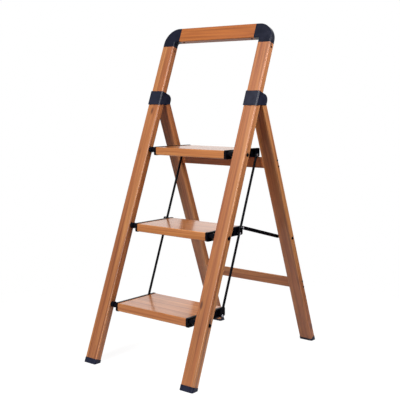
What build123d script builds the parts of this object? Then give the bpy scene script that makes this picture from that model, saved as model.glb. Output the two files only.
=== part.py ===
from build123d import *
from math import atan2, cos, degrees, hypot, radians, sin, tan
import os

# Folding three-step ladder. Units are millimetres, +Z is up, the front of the
# ladder faces -Y and the origin is on the floor under the middle of the ladder.

# Frame: two front rails with a handle bar across the top, two rear legs hinged to them
FRAME_WIDTH = 452.7
TUBE_WIDTH = 49.0
TUBE_DEPTH = 24.2
TUBE_WALL = 1.5
TUBE_ROUND = 4.0
LEG_DEPTH = 23.8
FRONT_LEAN = 20.4
REAR_LEAN = 20.8
RAIL_TOP = 1097.3

# Feet
FOOT_WALL = 1.0
FOOT_SOLE = 2.6
FRONT_FOOT_LAP = 5.2
REAR_FOOT_LAP = 5.0
FOOT_PLUG = 25.0
FOOT_EDGE = 0.6

# Handle
BAR_RISE = 67.0
ELBOW_REACH = 69.3
ELBOW_ROUND = 57.3
ELBOW_INNER_ROUND = 6.0
SPIGOT_LENGTH = 28.0
HANDLE_SCREW_INSET = 13.4
HANDLE_SCREW_LENGTH = 10.0

# Hinge collars
HINGE_UP_RAIL = 908.6
COLLAR_WALL = 2.4
COLLAR_LOW = 882.8
COLLAR_HIGH = 932.0
COLLAR_ROUND = 4.0
COLLAR_EDGE = 1.0
CHEEK_ROUND = 18.0
CHEEK_LAP = 0.3
CHEEK_GAP = 0.4
CHEEK_BOSS_RADIUS = 8.0
CHEEK_BOSS_HEIGHT = 3.4
HINGE_PIN_RADIUS = 4.0
PIN_POCKET = 1.0
LEG_PLUG_HEAD = 8.4
LEG_PLUG_SPIGOT = 36.0
COLLAR_RIVET_RADIUS = 2.0
COLLAR_RIVET_INSET = 6.0

# Steps
STEP_NAMES = ("bottom", "middle", "top")
FIRST_STEP = 198.1
STEP_PITCH = 264.1
TREAD_DEPTH = 181.0
TREAD_THICK = 26.0
TREAD_ROUND = 3.5
TREAD_WALL = 1.5
TREAD_CELLS = 4
TREAD_RIB = 1.3
TREAD_NOSE = 10.0
PIVOT_DROP = 9.3
STEP_GAP = 25.4
CAP_PLATE = 8.5
CAP_LIP = 1.5
CAP_POCKET = 5.5
CAP_RIM = 2.6
CAP_RIB = 1.6
CAP_RIBS = 7
CAP_PLUG = 14.0
CAP_PLUG_WALL = 1.2
CAP_EDGE = 0.7
PIVOT_BOSS_RADIUS = 6.9
PIVOT_FLANGE_RADIUS = 9.6
BOLT_RADIUS = 3.5
BOLT_HEAD_RADIUS = 6.2
BOLT_HEAD_HEIGHT = 3.0
WASHER_RADIUS = 9.6
WASHER_THICK = 0.8
NUT_FLATS = 10.0
NUT_THICK = 5.0
BOLT_TAIL = 0.8
CAP_SCREW_PLACES = (62.0, 122.0)

# Link rods and brace links
ROD_BACK = 146.0
ROD_DROP = 11.4
ROD_RADIUS = 4.0
ROD_END = 6.5
ROD_STANDOFF = 1.35
ROD_BOSS_RADIUS = 4.6
RIVET_RADIUS = 2.0
RIVET_HEAD_RADIUS = 4.0
RIVET_HEAD_HEIGHT = 1.7
BRACE_DOWN_LEG = 487.0
BRACE_HEIGHT = 11.5
BRACE_THICK = 4.0
BRACE_STANDOFF = 3.5
BRACE_EDGE = 0.8
BRACE_COLLAR_RADIUS = 3.2
LEG_PIN_RADIUS = 3.0
LEG_PIN_HEAD_RADIUS = 4.8
LEG_PIN_HEAD_HEIGHT = 2.4
LEG_SPACER_RADIUS = 4.5

# Rear crossbars
CROSSBAR_HEIGHT = 39.0
CROSSBAR_DEPTH = 8.0
CROSSBAR_WALL = 1.3
CROSSBAR_ROUND = 3.0
LOWER_BAR_DOWN_LEG = 669.7
CROSSBAR_INSET = 2.0
BAR_PLUG_LENGTH = 25.0
BAR_SCREW_PITCH = 22.0

# Small screws
SCREW_RADIUS = 1.75
SCREW_HEAD_RADIUS = 3.5
SCREW_HEAD_HEIGHT = 1.6

# Clearances
FIT_GAP = 0.1
RUN_CLEARANCE = 0.05
SIDE_GAP = 0.3
REST_GAP = 0.3
OPEN_PIVOT_GAP = 0.3


def rail_point(up, back):
    """World (y, z), before centring, of a point up the rail and behind its front face."""
    a = radians(FRONT_LEAN)
    return up * sin(a) + back * cos(a), up * cos(a) - back * sin(a)


# Places across the ladder, for its right side
OUTER_FACE = FRAME_WIDTH / 2
INNER_FACE = OUTER_FACE - TUBE_WIDTH
RAIL_X = OUTER_FACE - TUBE_WIDTH / 2
LEG_WIDTH = TUBE_WIDTH - 2 * CHEEK_GAP
LEG_OUTER = OUTER_FACE - CHEEK_GAP
LEG_INNER = INNER_FACE + CHEEK_GAP
CAP_FACE = INNER_FACE - STEP_GAP
TREAD_END = CAP_FACE - CAP_PLATE
ROD_X = CAP_FACE + ROD_STANDOFF + ROD_RADIUS
BRACE_IN = ROD_X + ROD_RADIUS + BRACE_STANDOFF
BRACE_OUT = BRACE_IN + BRACE_THICK

# Places in the side view
RAIL_MID = TUBE_DEPTH / 2
HINGE_BACK = TUBE_DEPTH + COLLAR_WALL + SIDE_GAP + LEG_DEPTH / 2
HINGE_Y, HINGE_Z = rail_point(HINGE_UP_RAIL, HINGE_BACK)
FRONT_REACH = -FOOT_WALL / cos(radians(FRONT_LEAN))
REAR_REACH = (HINGE_Y + HINGE_Z * tan(radians(REAR_LEAN))
              + (LEG_DEPTH / 2 + FOOT_WALL) / cos(radians(REAR_LEAN)))
MIDDLE_Y = (FRONT_REACH + REAR_REACH) / 2
STEPS_UP = [FIRST_STEP + i * STEP_PITCH for i in range(len(STEP_NAMES))]
FAR = 4 * FRAME_WIDTH

# Rail frame: X across, Y back from the rail's front face, Z up the rail from the floor.
# Leg frame: the same for a rear leg, from its hinge. Step frames start at the step pivots.
RAIL = Pos(0, -MIDDLE_Y, 0) * Rot(-FRONT_LEAN, 0, 0)
LEG = Pos(0, HINGE_Y - MIDDLE_Y, HINGE_Z) * Rot(REAR_LEAN, 0, 0)
STEPS = []
for up in STEPS_UP:
    pivot_y, pivot_z = rail_point(up, RAIL_MID)
    STEPS.append(Pos(0, pivot_y - MIDDLE_Y, pivot_z))


def bar(width, depth, rounding, length):
    """Rounded solid bar, standing on its own middle, along +Z."""
    rounding = min(rounding, 0.49 * min(width, depth))
    return extrude(RectangleRounded(width, depth, rounding), amount=length)


def tube(width, depth, rounding, wall, length):
    """Rounded hollow tube along +Z."""
    bore = bar(width - 2 * wall, depth - 2 * wall, max(rounding - wall, 0.3), length)
    return bar(width, depth, rounding, length) - bore


def pin(radius, x_from, x_to, y=0.0, z=0.0):
    """Round pin along X between two places."""
    middle = Pos((x_from + x_to) / 2, y, z)
    return middle * Rot(0, 90, 0) * Cylinder(radius, abs(x_to - x_from))


def dome(radius, height):
    """Domed head, flat side down at z = 0."""
    blank = Pos(0, 0, height / 2) * Cylinder(radius, height)
    return fillet(blank.edges().sort_by(Axis.Z)[-1], 0.8 * height)


def dome_x(radius, height, x, y=0.0, z=0.0, outward=1):
    """Domed head on a face square to X, pointing outward (+1) or inward (-1)."""
    return Pos(x, y, z) * Rot(0, 90 * outward, 0) * dome(radius, height)


def left_of(shape):
    """The left hand of a right hand piece."""
    return mirror(shape, about=Plane.YZ)


def pair(shape):
    """A piece and its left hand, as separate solids of one group."""
    right = shape.solids()
    return Compound(children=right + left_of(shape).solids())


def write(node, shape):
    """One file for each named piece."""
    export_step(shape, f"parts/{node}.step")


def write_sides(node, shape):
    """A right hand piece and its left hand."""
    write(f"right_{node}", shape)
    write(f"left_{node}", left_of(shape))


os.makedirs("parts", exist_ok=True)
FLOOR_CUT = Pos(0, 0, -FAR / 2) * Box(FAR, FAR, FAR)


def side_holes(radius, ups, back):
    """Drillings across a rail or leg, from face to face."""
    holes = Part()
    for up in ups:
        holes += pin(radius, INNER_FACE - TUBE_WALL, OUTER_FACE + TUBE_WALL, back, up)
    return holes


# Front rails: woodgrain aluminium tube, cut square, drilled for the step bolts
rail_foot = (FOOT_SOLE + TUBE_DEPTH * sin(radians(FRONT_LEAN))) / cos(radians(FRONT_LEAN))
rail_tube = Pos(RAIL_X, RAIL_MID, rail_foot) * tube(
    TUBE_WIDTH, TUBE_DEPTH, TUBE_ROUND, TUBE_WALL, RAIL_TOP - rail_foot)
handle_screw_up = RAIL_TOP - HANDLE_SCREW_INSET
collar_rivet_up = COLLAR_HIGH - COLLAR_RIVET_INSET
rivet_hole = Pos(RAIL_X, TUBE_DEPTH, collar_rivet_up) * Rot(90, 0, 0) * Cylinder(
    COLLAR_RIVET_RADIUS, 4 * TUBE_WALL)
rail_tube -= side_holes(BOLT_RADIUS, STEPS_UP, RAIL_MID)
rail_tube -= side_holes(SCREW_RADIUS, [handle_screw_up], RAIL_MID)
rail_tube -= rivet_hole
write_sides("front_rail", RAIL * rail_tube)


def foot(frame, middle, x, width, depth, tube_end, rim):
    """Moulded foot cap: flat on the floor, a lip round the tube and a plug up inside it."""
    blank = 2 * width
    shell = bar(width + 2 * FOOT_WALL, depth + 2 * FOOT_WALL, TUBE_ROUND + FOOT_WALL, blank)
    shell = Pos(x, middle, rim - blank) * shell
    shell -= Pos(x, middle, tube_end) * bar(width, depth, TUBE_ROUND, blank)
    inside = 2 * (TUBE_WALL + FIT_GAP)
    plug = bar(width - inside, depth - inside, TUBE_ROUND - TUBE_WALL, FOOT_PLUG + depth)
    cap_foot = frame * (shell + Pos(x, middle, tube_end - depth) * plug) - FLOOR_CUT
    return fillet(cap_foot.faces().sort_by(Axis.Z)[0].edges(), FOOT_EDGE)


write_sides("front_foot", foot(
    RAIL, RAIL_MID, RAIL_X, TUBE_WIDTH, TUBE_DEPTH, rail_foot, rail_foot + FRONT_FOOT_LAP))

# Handle bar: the same tube, level across the top
bar_middle = RAIL_TOP + BAR_RISE - TUBE_WIDTH / 2
bar_bottom = bar_middle - TUBE_WIDTH / 2
bar_end = OUTER_FACE - ELBOW_REACH
handle_bar = Pos(-bar_end, RAIL_MID, bar_middle) * Rot(0, 90, 0) * tube(
    TUBE_WIDTH, TUBE_DEPTH, TUBE_ROUND, TUBE_WALL, 2 * bar_end)
bar_screw_x = bar_end - HANDLE_SCREW_INSET
for side in (-1, 1):
    handle_bar -= Pos(side * bar_screw_x, RAIL_MID, bar_bottom) * Cylinder(
        SCREW_RADIUS, 4 * TUBE_WALL)
write("handle_bar", RAIL * handle_bar)

# Handle elbows: moulded corners, flush with the tubes, with a spigot into each tube
outline = Polygon(
    (bar_end, RAIL_TOP + BAR_RISE), (OUTER_FACE, RAIL_TOP + BAR_RISE),
    (OUTER_FACE, RAIL_TOP), (INNER_FACE, RAIL_TOP),
    (INNER_FACE, bar_bottom), (bar_end, bar_bottom), align=None)
outer_corner = outline.vertices().sort_by_distance((OUTER_FACE, RAIL_TOP + BAR_RISE))[0]
outline = fillet(outer_corner, ELBOW_ROUND)
inner_corner = outline.vertices().sort_by_distance((INNER_FACE, bar_bottom))[0]
outline = fillet(inner_corner, ELBOW_INNER_ROUND)
elbow = extrude(outline, amount=TUBE_DEPTH, dir=(0, 0, -1))
long_edges = [
    edge for face in elbow.faces().filter_by(Axis.Z) for edge in face.edges()
    if edge.center().X > bar_end + FIT_GAP and edge.center().Y > RAIL_TOP + FIT_GAP]
elbow = Rot(90, 0, 0) * fillet(long_edges, TUBE_ROUND)
spigot = bar(TUBE_WIDTH - 2 * (TUBE_WALL + FIT_GAP), TUBE_DEPTH - 2 * (TUBE_WALL + FIT_GAP),
             TUBE_ROUND - TUBE_WALL, SPIGOT_LENGTH + TUBE_ROUND)
elbow += Pos(RAIL_X, RAIL_MID, RAIL_TOP - SPIGOT_LENGTH) * spigot
elbow += Pos(bar_end - SPIGOT_LENGTH, RAIL_MID, bar_middle) * Rot(0, 90, 0) * spigot

# Handle screws: one each side of a rail's top and one under each end of the bar
def screw(length):
    """Small screw, pointing down from its head at z = 0."""
    return dome(SCREW_HEAD_RADIUS, SCREW_HEAD_HEIGHT) + Pos(0, 0, -length / 2) * Cylinder(
        SCREW_RADIUS, length)


handle_screws = [
    Pos(OUTER_FACE, RAIL_MID, handle_screw_up) * Rot(0, 90, 0) * screw(HANDLE_SCREW_LENGTH),
    Pos(INNER_FACE, RAIL_MID, handle_screw_up) * Rot(0, -90, 0) * screw(HANDLE_SCREW_LENGTH),
    Pos(bar_screw_x, RAIL_MID, bar_bottom) * Rot(180, 0, 0) * screw(HANDLE_SCREW_LENGTH)]
for one in handle_screws:
    elbow -= one
write_sides("handle_elbow", RAIL * elbow)
write("handle_screws", pair(RAIL * Compound(children=handle_screws)))

# Hinge collars: moulded sleeves round the rails, with two cheeks that take the leg's top
front = -COLLAR_WALL
sleeve_back = TUBE_DEPTH + COLLAR_WALL
cheek_back = HINGE_BACK + LEG_DEPTH / 2 + CHEEK_LAP
profile = Polygon((front, COLLAR_LOW - cheek_back), (cheek_back, COLLAR_LOW - cheek_back),
                  (cheek_back, COLLAR_HIGH), (front, COLLAR_HIGH), align=None)
profile = fillet(profile.vertices().sort_by_distance((cheek_back, COLLAR_HIGH))[0], CHEEK_ROUND)
collar = Pos(INNER_FACE - COLLAR_WALL, 0, 0) * extrude(
    Plane.YZ * profile, amount=TUBE_WIDTH + 2 * COLLAR_WALL, dir=(1, 0, 0))
collar = fillet(collar.edges().filter_by(Axis.Z).group_by(Axis.Y)[0], COLLAR_ROUND)
rims = [edge for face in collar.faces().filter_by(Axis.X) for edge in face.edges()
        if edge not in face.edges().filter_by(Axis.Z).sort_by(Axis.Y)[:1]]
rims += [edge for edge in collar.faces().sort_by(Axis.Z)[-1].edges() if edge not in rims]
collar = fillet(rims, COLLAR_EDGE)
slot_height = 2 * (COLLAR_HIGH - COLLAR_LOW + cheek_back)
collar -= Pos(RAIL_X, RAIL_MID, 0) * bar(TUBE_WIDTH, TUBE_DEPTH, TUBE_ROUND, FAR)
collar -= Pos(RAIL_X, sleeve_back + slot_height / 2, HINGE_UP_RAIL) * Box(
    TUBE_WIDTH, slot_height, slot_height)
for face, inward in ((OUTER_FACE, -1), (INNER_FACE, 1)):
    collar += pin(CHEEK_BOSS_RADIUS, face, face + inward * CHEEK_BOSS_HEIGHT,
                  HINGE_BACK, HINGE_UP_RAIL)
hinge_pin = pin(HINGE_PIN_RADIUS, INNER_FACE - PIN_POCKET, OUTER_FACE + PIN_POCKET,
                HINGE_BACK, HINGE_UP_RAIL)
collar_rivet = Pos(RAIL_X, sleeve_back, collar_rivet_up) * Rot(-90, 0, 0) * (
    dome(2 * COLLAR_RIVET_RADIUS, COLLAR_RIVET_RADIUS / 2)
    + Pos(0, 0, -COLLAR_WALL - TUBE_WALL) * Cylinder(
        COLLAR_RIVET_RADIUS, 2 * (COLLAR_WALL + TUBE_WALL)))
collar -= hinge_pin
collar -= collar_rivet
_, collar_bottom = rail_point(COLLAR_LOW, front)
collar = RAIL * collar - Pos(0, 0, collar_bottom) * FLOOR_CUT
write_sides("hinge_collar", collar)
write("hinge_pins", pair(RAIL * hinge_pin))
write("collar_rivets", pair(RAIL * collar_rivet))

# Step bolts, their washers against the rails and their nuts inside the steps
nut_face = TREAD_END - SIDE_GAP
bolt = dome_x(BOLT_HEAD_RADIUS, BOLT_HEAD_HEIGHT, OUTER_FACE)
bolt += pin(BOLT_RADIUS, nut_face - NUT_THICK - BOLT_TAIL, OUTER_FACE)
washer = pin(WASHER_RADIUS, INNER_FACE - WASHER_THICK, INNER_FACE)
washer -= pin(BOLT_RADIUS, INNER_FACE - 2 * WASHER_THICK, INNER_FACE + WASHER_THICK)
nut = Rot(0, 90, 0) * extrude(
    RegularPolygon(NUT_FLATS / 2, 6, major_radius=False), amount=NUT_THICK)
nut = Pos(nut_face - NUT_THICK, 0, 0) * nut
nut -= pin(BOLT_RADIUS, nut_face - 2 * NUT_THICK, nut_face + NUT_THICK)
for node, piece in (("step_bolts", bolt), ("step_washers", washer), ("step_nuts", nut)):
    write(node, pair(Compound(children=[step * piece for step in STEPS])))

# Steps: a hollow ribbed tread with a moulded cap plugged into each end
tread_middle_y = TREAD_DEPTH / 2 - TREAD_NOSE
tread_middle_z = PIVOT_DROP - TREAD_THICK / 2
tread_front = -TREAD_NOSE
rod_y = ROD_BACK
rod_z = -ROD_DROP
cell_count = int(TREAD_CELLS)
cell_depth = (TREAD_DEPTH - 2 * TREAD_WALL - (cell_count - 1) * TREAD_RIB) / cell_count
cell_height = TREAD_THICK - 2 * TREAD_WALL
cells = [tread_front + TREAD_WALL + cell_depth / 2 + i * (cell_depth + TREAD_RIB)
         for i in range(cell_count)]


def across(width, height, rounding, y, x_from, x_to):
    """Rounded bar lying along X at the tread's mid height."""
    lying = Rot(0, 90, 0) * bar(height, width, rounding, x_to - x_from)
    return Pos(x_from, y, tread_middle_z) * lying


cell_round = TREAD_ROUND - TREAD_WALL
tread = across(TREAD_DEPTH, TREAD_THICK, TREAD_ROUND, tread_middle_y, -TREAD_END, TREAD_END)
for y in cells:
    tread -= across(cell_depth, cell_height, cell_round, y, -TREAD_END, TREAD_END)

pocket_end = CAP_FACE - CAP_POCKET
cap = across(TREAD_DEPTH + 2 * CAP_LIP, TREAD_THICK + 2 * CAP_LIP, TREAD_ROUND + CAP_LIP,
             tread_middle_y, TREAD_END, CAP_FACE)
cap = fillet(cap.faces().sort_by(Axis.X)[-1].edges(), CAP_EDGE)
pocket_depth = TREAD_DEPTH - 2 * CAP_RIM
pocket = across(pocket_depth, TREAD_THICK - 2 * CAP_RIM, cell_round,
                tread_middle_y, pocket_end, CAP_FACE)
rib_count = int(CAP_RIBS)
for i in range(1, rib_count + 1):
    rib_y = tread_middle_y - pocket_depth / 2 + i * pocket_depth / (rib_count + 1)
    pocket -= Pos(CAP_FACE, rib_y, tread_middle_z) * Box(4 * CAP_POCKET, CAP_RIB, 2 * TREAD_THICK)
cap -= pocket
boss_end = INNER_FACE - WASHER_THICK - SIDE_GAP
cap += pin(PIVOT_BOSS_RADIUS, TREAD_END, boss_end)
cap += pin(PIVOT_FLANGE_RADIUS, ROD_X + 2 * ROD_RADIUS, boss_end)
cap += pin(ROD_BOSS_RADIUS, TREAD_END, CAP_FACE + ROD_STANDOFF - SIDE_GAP, rod_y, rod_z)
plug_depth = cell_depth - 2 * FIT_GAP
plug_height = cell_height - 2 * FIT_GAP
for y in cells:
    plug = across(plug_depth, plug_height, cell_round, y, TREAD_END - CAP_PLUG, TREAD_END)
    plug -= across(plug_depth - 2 * CAP_PLUG_WALL, plug_height - 2 * CAP_PLUG_WALL,
                   cell_round - CAP_PLUG_WALL / 2, y, TREAD_END - CAP_PLUG, TREAD_END)
    cap += plug
cap -= pin(BOLT_RADIUS + RUN_CLEARANCE, TREAD_END - CAP_PLUG, INNER_FACE)

# Rivets that hold the link rods to the caps, and the screws that hold the caps in the treads
rod_rivet_seat = ROD_X + ROD_RADIUS + SIDE_GAP
rod_rivet = pin(RIVET_RADIUS, TREAD_END + FIT_GAP, rod_rivet_seat, rod_y, rod_z)
rod_rivet += dome_x(RIVET_HEAD_RADIUS, RIVET_HEAD_HEIGHT, rod_rivet_seat, rod_y, rod_z)
tread_bottom = PIVOT_DROP - TREAD_THICK
cap_screw_x = TREAD_END - CAP_PLUG / 2
cap_screw_length = TREAD_WALL + FIT_GAP + CAP_PLUG_WALL
cap_screws = [
    Pos(cap_screw_x, tread_front + place, tread_bottom) * Rot(180, 0, 0) * screw(cap_screw_length)
    for place in CAP_SCREW_PLACES]
cap -= rod_rivet
for one in cap_screws:
    cap -= one
    tread -= one
    tread -= left_of(one)
for name, step in zip(STEP_NAMES, STEPS):
    write(f"{name}_tread", step * tread)
    write(f"{name}_right_cap", step * cap)
    write(f"{name}_left_cap", left_of(step * cap))
    write(f"{name}_rod_rivets", pair(step * rod_rivet))
    write(f"{name}_cap_screws", pair(step * Compound(children=cap_screws)))

# Rear legs: the same kind of tube, from under the collar to the floor
leg_mid = LEG_DEPTH / 2
floor_down = (HINGE_Z - leg_mid * sin(radians(REAR_LEAN))) / cos(radians(REAR_LEAN))
leg_foot = -floor_down + FOOT_SOLE / cos(radians(REAR_LEAN))
leg_top = -LEG_PLUG_HEAD
bar_back = leg_mid - CROSSBAR_INSET
bar_mid = bar_back - CROSSBAR_DEPTH / 2
rest_z = STEPS[-1].position.Z + tread_bottom - CAP_LIP - REST_GAP
corner_y = bar_back - CROSSBAR_ROUND
upper_bar_top = (rest_z - CROSSBAR_ROUND - HINGE_Z - corner_y * sin(radians(REAR_LEAN))
                 ) / cos(radians(REAR_LEAN)) + CROSSBAR_ROUND
bars = {"upper": upper_bar_top - CROSSBAR_HEIGHT / 2, "lower": -LOWER_BAR_DOWN_LEG}
bar_screw_ups = [up + side * BAR_SCREW_PITCH / 2 for up in bars.values() for side in (-1, 1)]
leg_tube = Pos(RAIL_X, 0, leg_foot) * tube(
    LEG_WIDTH, LEG_DEPTH, TUBE_ROUND, TUBE_WALL, leg_top - leg_foot)
leg_tube -= side_holes(SCREW_RADIUS, bar_screw_ups, bar_mid)
leg_tube -= side_holes(LEG_PIN_RADIUS, [-BRACE_DOWN_LEG], 0)
write_sides("rear_leg", LEG * leg_tube)
write_sides("rear_foot", foot(
    LEG, 0, RAIL_X, LEG_WIDTH, LEG_DEPTH, leg_foot, leg_foot + REAR_FOOT_LAP))

# Leg tops: moulded plugs with a round end that turns on the hinge pin between the cheeks
neck_width = TUBE_WIDTH - 2 * (CHEEK_BOSS_HEIGHT + SIDE_GAP)
leg_plug = pin(leg_mid, RAIL_X - neck_width / 2, RAIL_X + neck_width / 2)
leg_plug += Pos(RAIL_X, 0, leg_top / 2) * Box(neck_width, LEG_DEPTH, LEG_PLUG_HEAD)
leg_plug += Pos(RAIL_X, 0, leg_top - LEG_PLUG_SPIGOT) * bar(
    LEG_WIDTH - 2 * (TUBE_WALL + FIT_GAP), LEG_DEPTH - 2 * (TUBE_WALL + FIT_GAP),
    TUBE_ROUND - TUBE_WALL, LEG_PLUG_SPIGOT)
leg_plug -= pin(HINGE_PIN_RADIUS + RUN_CLEARANCE, INNER_FACE, OUTER_FACE)
write_sides("leg_hinge_plug", LEG * leg_plug)

# Crossbars: flat tubes between the legs, near their backs, with end plugs and screws
bar_plugs = []
bar_screws = []
plug_in = LEG_INNER - BAR_PLUG_LENGTH
for name, up in bars.items():
    cross = Pos(-LEG_INNER, bar_mid, up) * Rot(0, 90, 0) * tube(
        CROSSBAR_HEIGHT, CROSSBAR_DEPTH, CROSSBAR_ROUND, CROSSBAR_WALL, 2 * LEG_INNER)
    write(f"{name}_crossbar", LEG * cross)
    inside = 2 * (CROSSBAR_WALL + FIT_GAP)
    bar_plug = Pos(plug_in, bar_mid, up) * Rot(0, 90, 0) * bar(
        CROSSBAR_HEIGHT - inside, CROSSBAR_DEPTH - inside,
        CROSSBAR_ROUND - CROSSBAR_WALL, BAR_PLUG_LENGTH)
    for side in (-1, 1):
        screw_up = up + side * BAR_SCREW_PITCH / 2
        one = Pos(LEG_OUTER, bar_mid, screw_up) * Rot(0, 90, 0) * screw(
            LEG_OUTER - plug_in - BAR_PLUG_LENGTH / 4)
        bar_plug -= one
        bar_screws.append(one)
    bar_plugs.append(bar_plug)
write("crossbar_end_plugs", pair(LEG * Compound(children=bar_plugs)))
write("crossbar_screws", pair(LEG * Compound(children=bar_screws)))

# Link rods: one each side, parallel to the rails, tying the backs of the steps together
rod_ups = []
for up in STEPS_UP:
    lean = radians(FRONT_LEAN)
    rod_ups.append(up + rod_y * sin(lean) + rod_z * cos(lean))
rod_depth = RAIL_MID + rod_y * cos(radians(FRONT_LEAN)) - rod_z * sin(radians(FRONT_LEAN))
rod_length = rod_ups[-1] - rod_ups[0] + 2 * ROD_END


def brace_rise():
    """How far up the rod the brace pivot is, so that the brace has one length open and folded."""
    fold = radians(FRONT_LEAN + REAR_LEAN)
    open_pin = (HINGE_UP_RAIL - BRACE_DOWN_LEG * cos(fold),
                HINGE_BACK + BRACE_DOWN_LEG * sin(fold))
    folded_pin = (HINGE_UP_RAIL - BRACE_DOWN_LEG, HINGE_BACK)
    a = rod_ups[1] - open_pin[0]
    b = rod_depth - open_pin[1]
    c = STEPS_UP[1] + rod_y - folded_pin[0]
    d = RAIL_MID - rod_z - folded_pin[1]
    return (c * c + d * d - a * a - b * b) / (2 * (a - c)), open_pin


rise, leg_pin_place = brace_rise()
brace_up = rod_ups[1] + rise
rod = Pos(ROD_X, rod_depth, rod_ups[0] - ROD_END) * Cylinder(
    ROD_RADIUS, rod_length, align=(Align.CENTER, Align.CENTER, Align.MIN))
rod = fillet(rod.edges().filter_by(GeomType.CIRCLE), ROD_RADIUS / 2)
for up in rod_ups:
    rod -= pin(RIVET_RADIUS + RUN_CLEARANCE, ROD_X - 2 * ROD_RADIUS, ROD_X + 2 * ROD_RADIUS,
               rod_depth, up)
brace_pin_head = BRACE_OUT + SIDE_GAP
brace_pin = pin(RIVET_RADIUS, ROD_X - ROD_RADIUS, brace_pin_head, rod_depth, brace_up)
brace_pin += pin(BRACE_COLLAR_RADIUS, ROD_X + ROD_RADIUS + RUN_CLEARANCE, BRACE_IN - SIDE_GAP,
                 rod_depth, brace_up)
brace_pin += dome_x(RIVET_HEAD_RADIUS, RIVET_HEAD_HEIGHT, brace_pin_head, rod_depth, brace_up)
rod -= brace_pin
write_sides("link_rod", RAIL * rod)
write_sides("brace_pin", RAIL * brace_pin)

# Brace links: flat bars from the link rods to the rear legs
reach_up = leg_pin_place[0] - brace_up
reach_back = leg_pin_place[1] - rod_depth
brace_length = hypot(reach_up, reach_back)
link = extrude(Plane.YZ * SlotCenterToCenter(brace_length, BRACE_HEIGHT),
               amount=BRACE_THICK, dir=(1, 0, 0))
link = fillet(link.faces().filter_by(Axis.X).edges(), BRACE_EDGE)
link -= pin(RIVET_RADIUS + RUN_CLEARANCE, -BRACE_THICK, 2 * BRACE_THICK, -brace_length / 2)
link -= pin(RIVET_RADIUS, -BRACE_THICK, 2 * BRACE_THICK, brace_length / 2)
end_rivet = pin(RIVET_RADIUS, 0, BRACE_THICK, brace_length / 2)
end_rivet += dome_x(RIVET_HEAD_RADIUS, RIVET_HEAD_HEIGHT, 0, brace_length / 2, outward=-1)
BRACE = RAIL * Pos(BRACE_IN, (rod_depth + leg_pin_place[1]) / 2, (brace_up + leg_pin_place[0]) / 2
                   ) * Rot(degrees(atan2(reach_up, reach_back)), 0, 0)
write_sides("brace_link", BRACE * link)
write_sides("brace_end_rivet", BRACE * end_rivet)

# Leg pins: through the legs, with a spacer that reaches in to the brace links
leg_pin = dome_x(LEG_PIN_HEAD_RADIUS, LEG_PIN_HEAD_HEIGHT, LEG_OUTER, 0, -BRACE_DOWN_LEG)
leg_pin += pin(LEG_PIN_RADIUS, LEG_INNER, LEG_OUTER, 0, -BRACE_DOWN_LEG)
leg_pin += pin(LEG_SPACER_RADIUS, BRACE_OUT + OPEN_PIVOT_GAP, LEG_INNER, 0, -BRACE_DOWN_LEG)
write("brace_leg_pins", pair(LEG * leg_pin))
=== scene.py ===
from math import radians

import bmesh
import bpy
from mathutils import Matrix, Vector


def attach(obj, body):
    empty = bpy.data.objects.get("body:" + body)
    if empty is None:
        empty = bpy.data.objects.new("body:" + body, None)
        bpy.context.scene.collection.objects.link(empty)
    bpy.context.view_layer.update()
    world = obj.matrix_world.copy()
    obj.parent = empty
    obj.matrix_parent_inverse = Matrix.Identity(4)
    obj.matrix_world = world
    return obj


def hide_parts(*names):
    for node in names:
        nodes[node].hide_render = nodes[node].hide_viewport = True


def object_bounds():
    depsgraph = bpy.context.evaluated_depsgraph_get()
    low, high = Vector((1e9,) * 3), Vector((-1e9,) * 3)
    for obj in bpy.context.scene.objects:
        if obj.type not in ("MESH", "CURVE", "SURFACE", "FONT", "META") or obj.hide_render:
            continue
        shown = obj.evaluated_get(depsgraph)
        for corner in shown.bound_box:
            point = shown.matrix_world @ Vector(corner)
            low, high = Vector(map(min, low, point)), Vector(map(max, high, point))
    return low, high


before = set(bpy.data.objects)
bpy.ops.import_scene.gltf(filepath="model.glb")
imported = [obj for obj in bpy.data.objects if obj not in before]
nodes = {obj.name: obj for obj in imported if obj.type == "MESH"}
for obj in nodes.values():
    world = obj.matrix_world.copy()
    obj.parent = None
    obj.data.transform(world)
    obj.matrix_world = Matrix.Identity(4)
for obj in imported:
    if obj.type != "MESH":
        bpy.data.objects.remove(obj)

cad_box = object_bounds()


# Front rails and handle bar: drawn aluminium tube under a printed woodgrain film with a
# satin lacquer. The grain runs along each tube. The rails lean back, and the bar is level.
def screen(red, green, blue):
    """A colour as it looks on a screen, 0 to 255, as the linear colour that a shader takes."""
    parts = [c / 255 for c in (red, green, blue)]
    linear = [p / 12.92 if p <= 0.04045 else ((p + 0.055) / 1.055) ** 2.4 for p in parts]
    return (*linear, 1.0)


def put(tree, socket, value):
    """Sets a socket, or links it where the value is another node's output."""
    if isinstance(value, bpy.types.NodeSocket):
        tree.links.new(value, socket)
    else:
        socket.default_value = value


def add(tree, kind, settings=(), **inputs):
    """A shader node with its settings and its inputs by name."""
    made = tree.nodes.new("ShaderNode" + kind)
    for name, value in dict(settings).items():
        setattr(made, name, value)
    for name, value in inputs.items():
        put(tree, made.inputs[name.replace("_", " ")], value)
    return made


def calc(tree, operation, *values):
    """A Math node's result."""
    made = tree.nodes.new("ShaderNodeMath")
    made.operation = operation
    for socket, value in zip(made.inputs, values):
        put(tree, socket, value)
    return made.outputs[0]


def mix(tree, share, first, second):
    """One colour mixed into another."""
    made = tree.nodes.new("ShaderNodeMix")
    made.data_type = "RGBA"
    for place, value in ((0, share), (6, first), (7, second)):
        put(tree, made.inputs[place], value)
    return made.outputs[2]


def fade(tree, value, start, end, low=0.0, high=1.0):
    """Low up to start, high from end, and a smooth change between them."""
    made = add(tree, "MapRange", {"interpolation_type": "SMOOTHSTEP"}, Value=value,
               From_Min=start, From_Max=end, To_Min=low, To_Max=high)
    return made.outputs["Result"]


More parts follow.
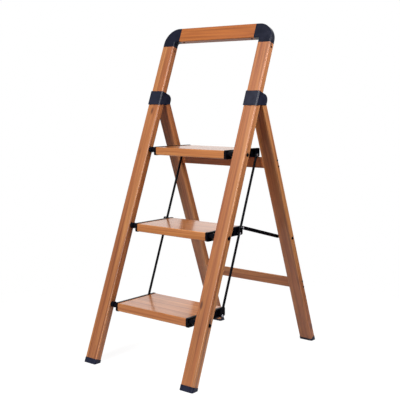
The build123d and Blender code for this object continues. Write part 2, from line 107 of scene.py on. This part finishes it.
def speckle(tree, vector, across, along, detail):
    """Noise in cells that many to the metre across the grain and along it."""
    cells = add(tree, "Mapping", Vector=vector, Scale=(across, across, along))
    made = add(tree, "TexNoise", Vector=cells.outputs[0], Scale=1.0, Detail=detail, Roughness=0.55)
    return made.outputs[0]


def new_group(name, inputs, outputs):
    """An empty shader group, with its input and output nodes."""
    group = bpy.data.node_groups.new(name, "ShaderNodeTree")
    for way, sockets in (("INPUT", inputs), ("OUTPUT", outputs)):
        for label, kind in sockets.items():
            group.interface.new_socket(label, in_out=way, socket_type="NodeSocket" + kind)
    return group, group.nodes.new("NodeGroupInput"), group.nodes.new("NodeGroupOutput")


FIGURE_TURNS = 46.0
KNOT_CELLS = (20, 20, 8)
grain, ins, outs = new_group(
    "printed_grain",
    {"Vector": "Vector", "Pale": "Color", "Body": "Color", "Rosy": "Color", "Streak": "Color",
     "Knot": "Color"},
    {"Color": "Color", "Roughness": "Float", "Height": "Float"})
place = ins.outputs["Vector"]
bands = speckle(grain, place, across=20, along=1.1, detail=2)
rosy = speckle(grain, place, across=55, along=1.6, detail=2)
streaks = speckle(grain, place, across=105, along=1.8, detail=3)
fibres = speckle(grain, place, across=330, along=6, detail=2)
figure = calc(grain, "SINE", calc(grain, "MULTIPLY", bands, FIGURE_TURNS))
knot_cells = add(grain, "Mapping", Vector=place, Scale=KNOT_CELLS)
knot_seed = add(grain, "TexVoronoi", {"feature": "F1"}, Vector=knot_cells.outputs[0], Scale=1.0)
knot_pick = add(grain, "SeparateColor", Color=knot_seed.outputs["Color"])
knot_spots = fade(grain, knot_seed.outputs["Distance"], 0.05, 0.16, low=0.8, high=0.0)
knots = calc(grain, "MULTIPLY", knot_spots, fade(grain, knot_pick.outputs["Red"], 0.35, 0.45))
colour = mix(grain, fade(grain, bands, 0.36, 0.64), ins.outputs["Body"], ins.outputs["Pale"])
colour = mix(grain, fade(grain, rosy, 0.42, 0.6, high=0.6), colour, ins.outputs["Rosy"])
colour = mix(grain, fade(grain, streaks, 0.46, 0.72, high=0.7), colour, ins.outputs["Streak"])
colour = mix(grain, fade(grain, figure, 0.55, 1.0, high=0.25), colour, ins.outputs["Streak"])
colour = mix(grain, fade(grain, fibres, 0.48, 0.7, high=0.35), colour, ins.outputs["Streak"])
colour = mix(grain, knots, colour, ins.outputs["Knot"])
put(grain, outs.inputs["Color"], colour)
put(grain, outs.inputs["Roughness"], fade(grain, fibres, 0.3, 0.7, low=0.33, high=0.43))
put(grain, outs.inputs["Height"], calc(grain, "ADD", fibres, streaks))


def new_material(name):
    """A material with its shader, which the finish is then linked to."""
    material = bpy.data.materials.new(name)
    material.use_nodes = True
    tree = material.node_tree
    return material, tree, tree.nodes["Principled BSDF"]


def bump(tree, shader, height, depth, strength):
    """Relief of that depth, in metres."""
    relief = add(tree, "Bump", Height=height, Distance=depth, Strength=strength)
    put(tree, shader.inputs["Normal"], relief.outputs[0])


def woodgrain(name, turn, start, inks, shine, lacquer=0.0):
    """Woodgrain film of four inks; turn brings the piece's length to the grain's direction, up."""
    material, tree, shader = new_material(name)
    where = add(tree, "TexCoord")
    lengthwise = add(tree, "Mapping", Vector=where.outputs["Object"], Location=start, Rotation=turn)
    film = add(tree, "Group", {"node_tree": grain}, Vector=lengthwise.outputs[0],
               Knot=KNOT_BROWN, **inks)
    put(tree, shader.inputs["Base Color"], film.outputs["Color"])
    put(tree, shader.inputs["Roughness"], film.outputs["Roughness"])
    bump(tree, shader, film.outputs["Height"], depth=0.00008, strength=0.25)
    shader.inputs["Specular IOR Level"].default_value = shine
    shader.inputs["Coat Weight"].default_value = lacquer
    shader.inputs["Coat Roughness"].default_value = 0.14
    return material


def dress(material, *names):
    """Gives CAD pieces their finish."""
    for name in names:
        for slot in nodes[name].material_slots:
            slot.material = material


SIDES = ("left", "right")
RAIL_LEAN = radians(20.4)
LEVEL = (0, radians(-90), 0)
KNOT_BROWN = screen(84, 38, 22)
PINK_BROWN = {"Pale": screen(218, 150, 92), "Body": screen(193, 120, 66),
              "Rosy": screen(179, 104, 61), "Streak": screen(126, 59, 27)}
OCHRE_BROWN = {"Pale": screen(200, 122, 63), "Body": screen(183, 105, 50),
               "Rosy": screen(175, 96, 48), "Streak": screen(140, 70, 32)}
rail_film = woodgrain("rail_woodgrain", turn=(RAIL_LEAN, 0, 0), start=(0.2, 0.9, 1.81),
                      inks=PINK_BROWN, shine=0.85)
level_film = woodgrain("level_woodgrain", turn=LEVEL, start=(0, 0, 0),
                       inks=OCHRE_BROWN, shine=0.5)
dress(rail_film, *[f"{side}_front_rail" for side in SIDES])
dress(level_film, "handle_bar")

# Handle elbows: nylon mouldings that close the corners of the frame, flush with the tubes,
# with a spigot in each tube. Hinge collars and leg tops are moulded of the same compound, but
# their copy of it is painted lighter, as painted sheen of the light on the collars' fronts.
skin, ins, outs = new_group(
    "moulded_skin", {"Vector": "Vector", "Dark": "Color", "Light": "Color"},
    {"Color": "Color", "Roughness": "Float", "Height": "Float"})
place = ins.outputs["Vector"]
sparks = speckle(skin, place, across=1900, along=1900, detail=1)
clouds = speckle(skin, place, across=45, along=45, detail=3)
put(skin, outs.inputs["Color"],
    mix(skin, fade(skin, clouds, 0.3, 0.7), ins.outputs["Dark"], ins.outputs["Light"]))
put(skin, outs.inputs["Roughness"], fade(skin, clouds, 0.3, 0.7, low=0.28, high=0.36))
put(skin, outs.inputs["Height"], sparks)


def moulding(name, dark, light, depth, shine):
    """Moulded compound with a fine spark texture of that depth."""
    material, tree, shader = new_material(name)
    where = add(tree, "TexCoord")
    finish = add(tree, "Group", {"node_tree": skin}, Vector=where.outputs["Object"],
                 Dark=dark, Light=light)
    put(tree, shader.inputs["Base Color"], finish.outputs["Color"])
    put(tree, shader.inputs["Roughness"], finish.outputs["Roughness"])
    bump(tree, shader, finish.outputs["Height"], depth, strength=0.5)
    shader.inputs["Specular IOR Level"].default_value = shine
    return material


charcoal = moulding("charcoal_moulding", screen(18, 21, 38), screen(23, 26, 45),
                    depth=0.00006, shine=0.28)
# Painted sheen: a lighter base than the charcoal, for the light that the collar fronts catch; their
# stronger gloss is real.
charcoal_painted_sheen = moulding("charcoal_painted_sheen_moulding", screen(22, 25, 43), screen(28, 32, 53),
                 depth=0.00006, shine=0.45)
for side in SIDES:
    dress(charcoal, f"{side}_handle_elbow")
    dress(charcoal_painted_sheen, f"{side}_hinge_collar", f"{side}_leg_hinge_plug")

# Rear legs and crossbars: the same film on the tubes of the rear frame. The legs lean the
# other way from the hinge, and the flat crossbars are screwed between them.
LEG_LEAN = radians(-20.8)
leg_film = woodgrain("leg_woodgrain", turn=(LEG_LEAN, 0, 0), start=(2.07, 2.99, 0.48),
                     inks=PINK_BROWN, shine=0.85)
crossbar_film = woodgrain("crossbar_woodgrain", turn=LEVEL, start=(2.19, 1.44, 0.87),
                          inks=PINK_BROWN, shine=0.6)
dress(leg_film, *[f"{side}_rear_leg" for side in SIDES])
dress(crossbar_film, "upper_crossbar", "lower_crossbar")

# Feet: soft caps pushed into the ends of the rails and legs and cut flat to the floor.
# Their rubber is duller than the mouldings, with a coarser texture.
rubber = moulding("foot_rubber_skin", screen(26, 30, 50), screen(33, 38, 60),
                  depth=0.00012, shine=0.3)
dress(rubber, *[f"{side}_{end}_foot" for side in SIDES for end in ("front", "rear")])

# Steps: hollow treads of extruded aluminium under the same film, grain from side to side,
# with a moulded cap plugged into each end.
STEP_NAMES = ("bottom", "middle", "top")
step_black = moulding("step_cap_moulding", screen(8, 9, 17), screen(12, 13, 22),
                      depth=0.00006, shine=0.1)
HONEY_BROWN = {"Pale": screen(226, 153, 90), "Body": screen(208, 132, 70),
               "Rosy": screen(200, 120, 67), "Streak": screen(154, 82, 38)}
tread_film = woodgrain("tread_woodgrain", turn=LEVEL, start=(2.75, 1.02, 2.77),
                       inks=HONEY_BROWN, shine=0.4, lacquer=0.65)
for name in STEP_NAMES:
    dress(tread_film, f"{name}_tread")
    dress(step_black, *[f"{name}_{side}_cap" for side in SIDES])

# Link rods and brace links: steel bars under black powder coat, which has a faint orange
# peel. The rods tie the backs of the steps, and the links tie them to the rear legs.
peel, ins, outs = new_group(
    "powder_coat", {"Vector": "Vector"}, {"Roughness": "Float", "Height": "Float"})
ripple = speckle(peel, ins.outputs["Vector"], across=520, along=520, detail=2)
put(peel, outs.inputs["Roughness"], fade(peel, ripple, 0.3, 0.7, low=0.30, high=0.42))
put(peel, outs.inputs["Height"], ripple)


def powder_coat(name, colour):
    """Powder coat over steel."""
    material, tree, shader = new_material(name)
    where = add(tree, "TexCoord")
    finish = add(tree, "Group", {"node_tree": peel}, Vector=where.outputs["Object"])
    shader.inputs["Base Color"].default_value = colour
    put(tree, shader.inputs["Roughness"], finish.outputs["Roughness"])
    bump(tree, shader, finish.outputs["Height"], depth=0.00006, strength=0.35)
    shader.inputs["Specular IOR Level"].default_value = 0.08
    return material


black_coat = powder_coat("black_powder_coat", screen(5, 5, 11))
for side in SIDES:
    dress(black_coat, f"{side}_link_rod", f"{side}_brace_link")
dress(black_coat, "brace_leg_pins", "collar_rivets")

# Rivets, hinge pins and nuts: zinc-plated steel, bright with a faint cloudy bloom. The
# rivets hold the rods and links, and the pins and nuts are inside the hinges and steps.
zinc, tree, shader = new_material("bright_zinc")
where = add(tree, "TexCoord")
bloom = speckle(tree, where.outputs["Object"], across=420, along=420, detail=3)
put(tree, shader.inputs["Base Color"],
    mix(tree, bloom, screen(188, 188, 200), screen(222, 222, 230)))
put(tree, shader.inputs["Roughness"], fade(tree, bloom, 0.3, 0.7, low=0.22, high=0.40))
shader.inputs["Metallic"].default_value = 1.0
for side in SIDES:
    dress(zinc, f"{side}_brace_pin", f"{side}_brace_end_rivet")
dress(zinc, "hinge_pins", "step_nuts", *[f"{name}_rod_rivets" for name in STEP_NAMES])

# Washers and end plugs: plain black nylon between the steps and the rails, and inside the
# ends of the crossbars.
nylon = moulding("plain_nylon", screen(16, 16, 20), screen(22, 22, 26),
                 depth=0.00003, shine=0.15)
dress(nylon, "step_washers", "crossbar_end_plugs")

# Bolts and screws: black steel, with a button head and a pressed recess. The bolts carry
# the steps, and the screws hold the elbows, the crossbars and the step caps.
RING = 12
SOCKET = "socket"
CROSS = "cross"
WELD = 1e-6
CREASE = 0.8
# A point counts as on the head's rim from this share of the head's radius
RIM_SHARE = 0.95
# How far out the inner corners of a recess stand, as a share of the dome's last ring
SOCKET_PULL = 0.87
CROSS_PULL = 0.36
# The recess's depth in head heights, and its floor's size as a share of its mouth's
RECESS_DEPTH = 0.6
RECESS_TAPER = 0.75
# The dome's rings: each one's rise in head heights, and its size as a share of the last one's
DOME_RINGS = ((0.3, 1), (0.45, 0.84), (0.2, 0.68), (0.05, 0.9))


def loose_solids(name):
    """The places of the vertices of each separate solid of a CAD node."""
    copy = bmesh.new()
    copy.from_mesh(nodes[name].data)
    bmesh.ops.remove_doubles(copy, verts=copy.verts, dist=WELD)
    left = set(copy.verts)
    solids = []
    while left:
        reached = [left.pop()]
        for vert in reached:
            near = {edge.other_vert(vert) for edge in vert.link_edges} & left
            left -= near
            reached.extend(near)
        solids.append([vert.co.copy() for vert in reached])
    copy.free()
    return sorted(solids, key=lambda solid: tuple(sum(solid, Vector())))


def middle(values):
    """Half way between the lowest value and the highest."""
    return (min(values) + max(values)) / 2


def seat_of(solid, axis):
    """The frame at a fastener's tip with its head upwards, its head's radius and its length."""
    side = axis.orthogonal().normalized()
    up = axis.cross(side)
    centre = side * middle([p.dot(side) for p in solid]) + up * middle([p.dot(up) for p in solid])
    centre += axis * middle([p.dot(axis) for p in solid])
    reach = [(p - centre - axis * (p - centre).dot(axis)).length for p in solid]
    rim = [p for p, r in zip(solid, reach) if r > RIM_SHARE * max(reach)]
    if sum((p - centre).dot(axis) for p in rim) < 0:
        axis = -axis
        side = -side
    length = 2 * max((p - centre).dot(axis) for p in solid)
    frame_of = Matrix((side, up, axis)).transposed().to_4x4()
    frame_of.translation = centre - axis * length / 2
    return frame_of, max(reach), length


def raise_cap(mesh, cap, lift, grow):
    """Draws a cap face up by lift, scaled about its own axis, and gives back the new cap."""
    cap = bmesh.ops.extrude_discrete_faces(mesh, faces=[cap])["faces"][0]
    bmesh.ops.scale(mesh, vec=(grow, grow, 1), verts=cap.verts)
    bmesh.ops.translate(mesh, vec=(0, 0, lift), verts=cap.verts)
    return cap


def button_head(mesh, rim, length, head, shank, recess):
    """A shank with a domed head on top, standing on its tip, with a recess pressed in the dome."""
    turn = Matrix.Rotation(radians(180 / RING), 3, "Z")
    ring = bmesh.ops.create_circle(mesh, cap_ends=True, segments=RING, radius=shank)["verts"]
    bmesh.ops.rotate(mesh, cent=(0, 0, 0), matrix=turn, verts=ring)
    crease = mesh.edges.layers.float.new("crease_edge")
    cap = raise_cap(mesh, ring[0].link_faces[0], length - head, 1)
    cap = raise_cap(mesh, cap, 0, rim / shank)
    for rise, grow in DOME_RINGS:
        cap = raise_cap(mesh, cap, rise * head, grow)
    corners = sorted(cap.verts, key=lambda vert: Vector((1, 0)).angle_signed(vert.co.xy))
    if recess == CROSS:
        inner, pull = corners[1::3], CROSS_PULL
    else:
        inner, pull = corners[1::2], SOCKET_PULL
    bmesh.ops.scale(mesh, vec=(pull, pull, 1), verts=inner)
    for edge in cap.edges:
        edge[crease] = CREASE
    cap = raise_cap(mesh, cap, -RECESS_DEPTH * head, RECESS_TAPER)
    for edge in cap.edges:
        edge[crease] = CREASE
    open_edges = [edge for edge in mesh.edges if edge.is_boundary]
    bmesh.ops.holes_fill(mesh, edges=open_edges, sides=RING)
    bmesh.ops.recalc_face_normals(mesh, faces=mesh.faces)


def span(solid, axis):
    """How long a solid is along an axis."""
    along = [place.dot(axis) for place in solid]
    return max(along) - min(along)


def fasteners(name, body, axes, head, shank, recess):
    """All the fasteners of a CAD node as one piece, each on the seat that the node gives it."""
    whole = bpy.data.meshes.new(name + "_mesh")
    joined = bmesh.new()
    for solid in loose_solids(name):
        longest = max(axes, key=lambda axis: span(solid, axis))
        stand, rim, length = seat_of(solid, longest)
        one = bmesh.new()
        button_head(one, rim, length, head, shank, recess)
        bmesh.ops.transform(one, matrix=stand, verts=one.verts)
        one.to_mesh(whole)
        one.free()
        joined.from_mesh(whole)
    for face in joined.faces:
        face.smooth = True
    joined.to_mesh(whole)
    joined.free()
    piece = bpy.data.objects.new(name + "_heads", whole)
    bpy.context.scene.collection.objects.link(piece)
    whole.materials.append(black_coat)
    rounding = piece.modifiers.new("rounding", "SUBSURF")
    rounding.levels = 2
    rounding.render_levels = 2
    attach(piece, body)
    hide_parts(name)


ACROSS = Vector((1, 0, 0))
UPRIGHT = Vector((0, 0, 1))
UP_RAIL = Matrix.Rotation(-RAIL_LEAN, 3, "X") @ UPRIGHT
BOLT_HEAD, BOLT_SHANK = 0.003, 0.0035
SCREW_HEAD, SCREW_SHANK = 0.0016, 0.00175
fasteners("step_bolts", "front_frame", [ACROSS], BOLT_HEAD, BOLT_SHANK, SOCKET)
fasteners("handle_screws", "front_frame", [ACROSS, UP_RAIL], SCREW_HEAD, SCREW_SHANK, CROSS)
fasteners("crossbar_screws", "rear_frame", [ACROSS], SCREW_HEAD, SCREW_SHANK, CROSS)
for name in STEP_NAMES:
    fasteners(f"{name}_cap_screws", f"{name}_step", [UPRIGHT], SCREW_HEAD, SCREW_SHANK, CROSS)


# Floor: a plain pale studio floor that fades into the white round it. It shows as white
# to the camera, with the soft shadow of the ladder.
def seen(tree):
    """1 where the camera, a reflection or glass looks at the surface, 0 for the light on others."""
    path = add(tree, "LightPath")
    looks = calc(tree, "MAXIMUM", path.outputs["Is Camera Ray"], path.outputs["Is Glossy Ray"])
    return calc(tree, "MAXIMUM", looks, path.outputs["Is Transmission Ray"])


FLOOR_REACH = 3.6
FLOOR_DROP = 0.0003
sheet = bmesh.new()
bmesh.ops.create_circle(sheet, cap_ends=True, segments=64, radius=FLOOR_REACH)
bmesh.ops.translate(sheet, vec=(0, 0, -FLOOR_DROP), verts=sheet.verts)
floor_mesh = bpy.data.meshes.new("floor_mesh")
sheet.to_mesh(floor_mesh)
sheet.free()
floor = bpy.data.objects.new("floor", floor_mesh)
bpy.context.scene.collection.objects.link(floor)
paper = bpy.data.materials.new("floor_paper")
paper.use_nodes = True
tree = paper.node_tree
tree.nodes.clear()
where = add(tree, "TexCoord")
shrink = add(tree, "Mapping", Vector=where.outputs["Object"], Scale=(1 / FLOOR_REACH,) * 3)
rim = add(tree, "TexGradient", {"gradient_type": "SPHERICAL"}, Vector=shrink.outputs[0])
matt = add(tree, "BsdfDiffuse", Color=(0.66, 0.64, 0.76, 1))
faint = add(tree, "BsdfDiffuse", Color=(0.2, 0.2, 0.2, 1))
path = add(tree, "LightPath")
GLOW_IN_REFLECTIONS = 0.45
GLOW_ADDED_FOR_CAMERA = 0.48
strength = calc(tree, "MULTIPLY_ADD", path.outputs["Is Camera Ray"], GLOW_ADDED_FOR_CAMERA,
                GLOW_IN_REFLECTIONS)
glow = add(tree, "Emission", Strength=strength)
white = add(tree, "AddShader")
put(tree, white.inputs[0], faint.outputs[0])
put(tree, white.inputs[1], glow.outputs[0])
clear = add(tree, "BsdfTransparent")
lit = add(tree, "MixShader", Fac=seen(tree))
put(tree, lit.inputs[1], matt.outputs[0])
put(tree, lit.inputs[2], white.outputs[0])
whole = add(tree, "MixShader", Fac=fade(tree, rim.outputs["Fac"], 0.66, 0.88))
put(tree, whole.inputs[1], clear.outputs[0])
put(tree, whole.inputs[2], lit.outputs[0])
end = add(tree, "OutputMaterial")
put(tree, end.inputs["Surface"], whole.outputs[0])
floor_mesh.materials.append(paper)

# Studio light: a white backdrop across the camera's view, a dim room behind the camera, and
# soft boxes in front, close over the front, at the right and behind. A fill at the rear
# lights the ladder's back, and no surface mirrors it.
world = bpy.data.worlds.new("white_room")
bpy.context.scene.world = world
world.use_nodes = True
tree = world.node_tree
tree.nodes.clear()
where = add(tree, "TexCoord")
towards = add(tree, "SeparateXYZ", Vector=where.outputs["Generated"])
away = calc(tree, "SUBTRACT", towards.outputs["Y"], towards.outputs["X"])
backdrop = calc(tree, "MAXIMUM", fade(tree, away, 0.7, 1.2),
                fade(tree, towards.outputs["X"], -0.3, 0.5, low=0.3, high=0.03))
path = add(tree, "LightPath")
bright = calc(tree, "MAXIMUM", backdrop, path.outputs["Is Camera Ray"])
shown = add(tree, "Background", Color=(1, 1, 1, 1), Strength=bright)
light = add(tree, "Background", Color=(1, 1, 1, 1), Strength=0.03)
either = add(tree, "MixShader", Fac=seen(tree))
put(tree, either.inputs[1], light.outputs[0])
put(tree, either.inputs[2], shown.outputs[0])
end = add(tree, "OutputWorld")
put(tree, end.inputs["Surface"], either.outputs[0])
low, high = cad_box
heart = (low + high) / 2


def soft_box(name, place, width, height, power):
    """A flat lamp that faces the middle of the ladder."""
    lamp = bpy.data.lights.new(name, "AREA")
    lamp.shape = "RECTANGLE"
    lamp.size = width
    lamp.size_y = height
    lamp.energy = power
    box = bpy.data.objects.new(name, lamp)
    bpy.context.scene.collection.objects.link(box)
    box.location = place
    box.rotation_euler = (heart - Vector(place)).to_track_quat("-Z", "Y").to_euler()
    box.visible_camera = False
    return box


soft_box("front_box", (0.06, -2.5, 1.5), width=0.5, height=1.5, power=34)
soft_box("near_box", (0.02, -1.1, 1.68), width=0.6, height=0.6, power=9.5)
soft_box("right_box", (1.25, 0.0, 1.35), width=0.9, height=0.9, power=15)
soft_box("back_box", (1.35, 1.35, 1.65), width=0.9, height=0.9, power=3.5)
rear_box = soft_box("rear_box", (-0.9, 2.3, 0.9), width=1.2, height=0.9, power=16)
rear_box.visible_glossy = False

# Camera: to the right of the ladder's front, a little below the hinges, as in the picture.
# The lens is shifted, because its axis doesn't meet the middle of the picture.
FRAME_PIXELS = 400
FOCAL_PIXELS = 802.7
CENTRE_PIXEL = (205.87, 161.77)
CAMERA_PLACE = (1.66436, -2.07798, 0.84142)
CAMERA_TURN = radians(38.684)
CAMERA_DIP = radians(4.349)
CAMERA_ROLL = radians(0.173)
lens = bpy.data.cameras.new("camera_lens")
lens.sensor_width = 36.0
lens.lens = lens.sensor_width * FOCAL_PIXELS / FRAME_PIXELS
lens.shift_x = 0.5 - CENTRE_PIXEL[0] / FRAME_PIXELS
lens.shift_y = CENTRE_PIXEL[1] / FRAME_PIXELS - 0.5
camera = bpy.data.objects.new("camera", lens)
bpy.context.scene.collection.objects.link(camera)
turned = Matrix.Rotation(CAMERA_TURN, 4, "Z")
tilted = Matrix.Rotation(radians(90) - CAMERA_DIP, 4, "X")
rolled = Matrix.Rotation(CAMERA_ROLL, 4, "Z")
camera.matrix_world = Matrix.Translation(CAMERA_PLACE) @ turned @ tilted @ rolled
bpy.context.scene.camera = camera
bpy.context.scene.view_settings.view_transform = "Standard"
